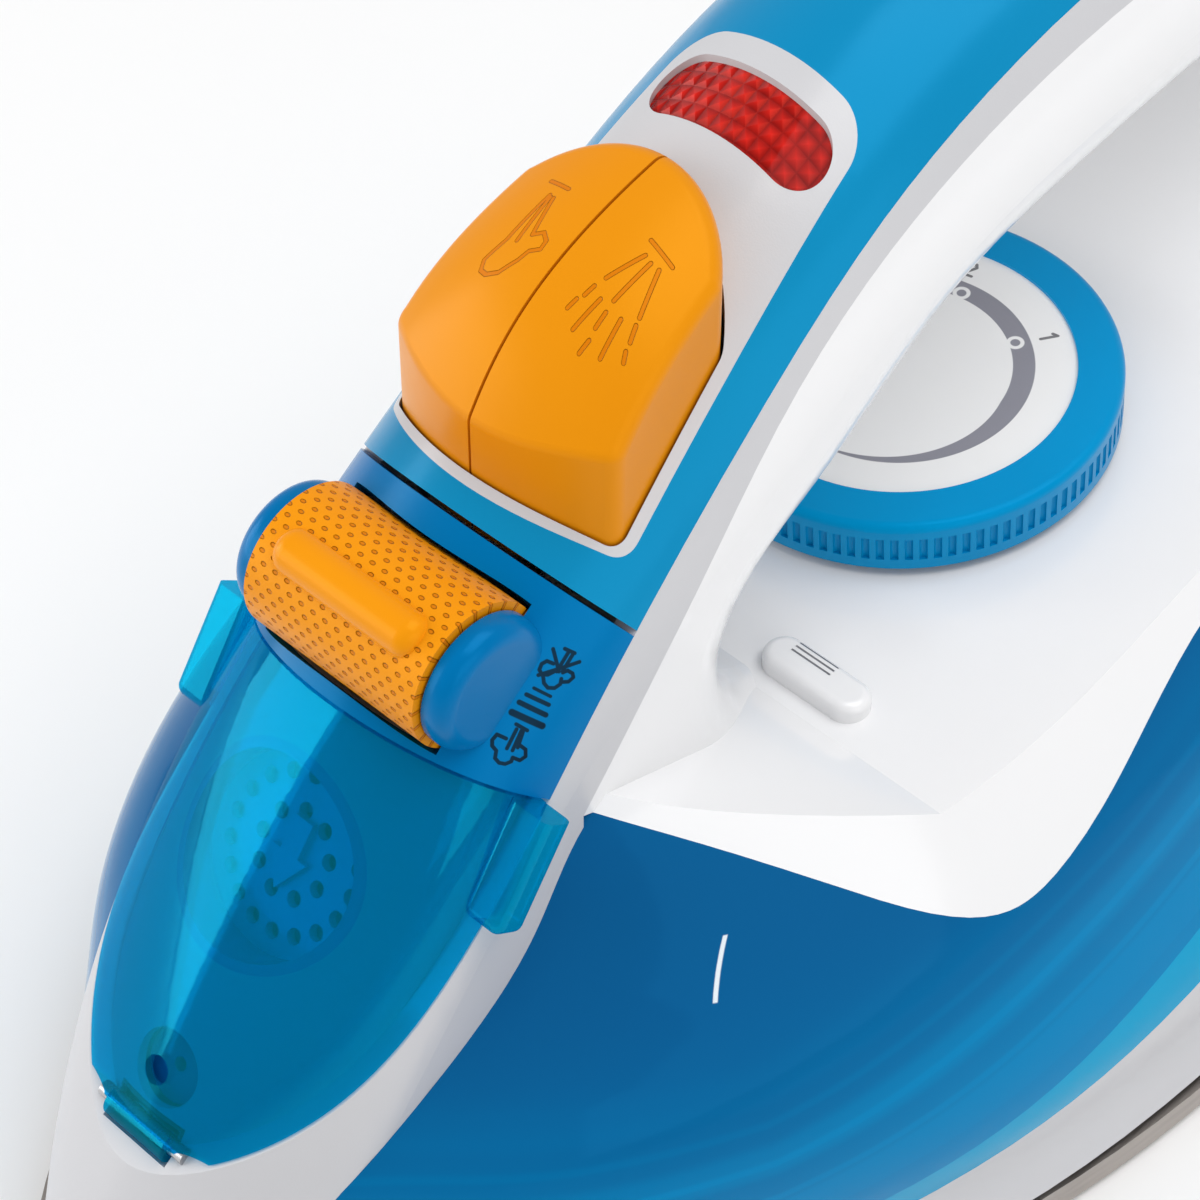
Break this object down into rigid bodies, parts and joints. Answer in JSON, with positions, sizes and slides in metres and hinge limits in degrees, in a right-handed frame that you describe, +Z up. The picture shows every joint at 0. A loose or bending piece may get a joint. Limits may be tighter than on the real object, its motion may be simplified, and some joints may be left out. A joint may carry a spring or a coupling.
{
  "type": "steam iron",
  "caption": "Steam iron with a pointed sole, see-through water tank, filler lid on the nose, temperature dial under the grip, thumb roller and spray and steam buttons.",
  "frame": {"origin": "bottom centre of the box around the iron, on the ironing face", "axes": "+X from nose to heel, +Y sideways, +Z up from the ironing face to the grip"},
  "size_m": [0.286, 0.124, 0.1367],
  "materials": {
    "blue_gloss": "gloss",
    "white_gloss": "gloss",
    "light_grey": "satin",
    "clear_blue": "clear gloss",
    "clear_cyan": "clear gloss",
    "orange_gloss": "gloss",
    "orange_satin": "satin",
    "red_clear": "clear gloss",
    "sole_metal": "brushed",
    "cast_metal": "cast",
    "sheet_metal": "plain",
    "screw_metal": "plain",
    "brass_metal": "turned",
    "black_plastic": "matt",
    "black_rubber": "matt",
    "seal_rubber": "matt",
    "natural_plastic": "matt",
    "lamp_glass": "clear"
  },
  "bodies": {
    "iron": {"soleplate": "sole_metal", "heat_shield": "black_plastic", "heating_element": "sheet_metal", "heater_casting": "cast_metal", "chamber_gasket": "seal_rubber", "chamber_cover": "sheet_metal", "cover_screws": "screw_metal", "thermostat": "sheet_metal", "thermal_fuse": "natural_plastic", "skirt": "light_grey", "tank_base": "clear_cyan", "water_tank": "clear_blue", "tank_cover": "natural_plastic", "upper_housing": "white_gloss", "dial_pointer": "white_gloss", "handle_liner": "light_grey", "handle_shell": "blue_gloss", "front_panel": "blue_gloss", "console_trim": "light_grey", "lamp_lens": "red_clear", "indicator_lamp": "lamp_glass", "steam_pump": "natural_plastic", "spray_pump": "natural_plastic", "steam_spring": "screw_metal", "spray_spring": "screw_metal", "spray_hose": "black_rubber", "roller_axle": "screw_metal", "valve_seat": "seal_rubber", "lid_hinge_pin": "screw_metal", "filler_funnel": "clear_cyan", "inlet_strainer": "natural_plastic", "spray_nozzle": "black_plastic", "cord_gland": "black_plastic", "terminal_block": "natural_plastic", "rear_cover": "light_grey", "heel_feet": "black_rubber", "heel_screws": "screw_metal"},
    "dial": {"temperature_dial": "blue_gloss", "dial_face": "white_gloss", "dial_shaft": "natural_plastic"},
    "roller": {"steam_roller": "orange_satin"},
    "valve": {"valve_rod": "brass_metal"},
    "steam_key": {"steam_button": "orange_gloss", "steam_plunger": "natural_plastic"},
    "spray_key": {"spray_button": "orange_gloss", "spray_plunger": "natural_plastic"},
    "lid": {"filler_lid": "clear_blue"}
  },
  "joints": [
    {"name": "dial_turn", "type": "hinge", "parent": "iron", "child": "dial", "pos_m": [-0.006, 0, 0.07], "axis": [-0.0953, 0, 0.9954], "range_deg": [-30, 240]},
    {"name": "roller_turn", "type": "hinge", "parent": "iron", "child": "roller", "pos_m": [-0.084, 0, 0.0866], "axis": [0, 1, 0], "range_deg": [-35, 35]},
    {"name": "valve_lift", "type": "slide", "parent": "iron", "child": "valve", "axis": [0, 0, 1], "range_m": [-0.0015, 0.0015]},
    {"name": "steam_press", "type": "slide", "parent": "iron", "child": "steam_key", "axis": [0, 0, -1], "range_m": [0, 0.004], "stiffness_N_per_m": 400, "springref_m": -0.003, "deforming": ["steam_spring"]},
    {"name": "spray_press", "type": "slide", "parent": "iron", "child": "spray_key", "axis": [0, 0, -1], "range_m": [0, 0.004], "stiffness_N_per_m": 400, "springref_m": -0.003, "deforming": ["spray_spring"]},
    {"name": "lid_open", "type": "hinge", "parent": "iron", "child": "lid", "pos_m": [-0.12083, 0, 0.03925], "axis": [0, -1, 0], "range_deg": [0, 75]}
  ],
  "couplings": [
    {"joint": "roller_turn", "follows": "valve_lift", "rad_per_m": 407}
  ]
}
